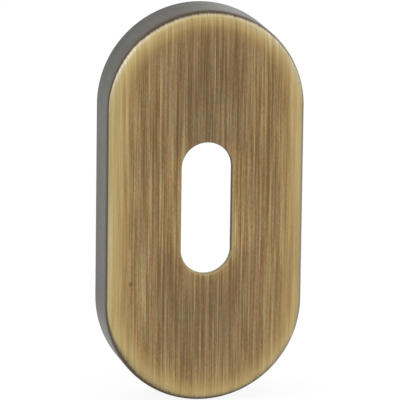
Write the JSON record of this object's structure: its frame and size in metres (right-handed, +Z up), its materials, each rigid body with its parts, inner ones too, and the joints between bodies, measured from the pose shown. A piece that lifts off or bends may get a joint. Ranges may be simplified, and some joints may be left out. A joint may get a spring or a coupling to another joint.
{
  "type": "door rosette",
  "caption": "Shallow brass cap with straight sides and round ends and an upright key slot, which covers the keyhole of an interior door.",
  "frame": {"origin": "middle of the open rim, on the face of the door and on the axis of the key slot", "axes": "+Z up along the long axis, +X to the right seen from the front, +Y into the door, so the front looks along -Y"},
  "size_m": [0.0316, 0.009, 0.0624],
  "materials": {
    "antique_brass": "darkened, then brushed along its length on the face and edge, with the dark skirt left as it was"
  },
  "bodies": {
    "root": {"rosette_cover": "antique_brass"}
  },
  "joints": []
}
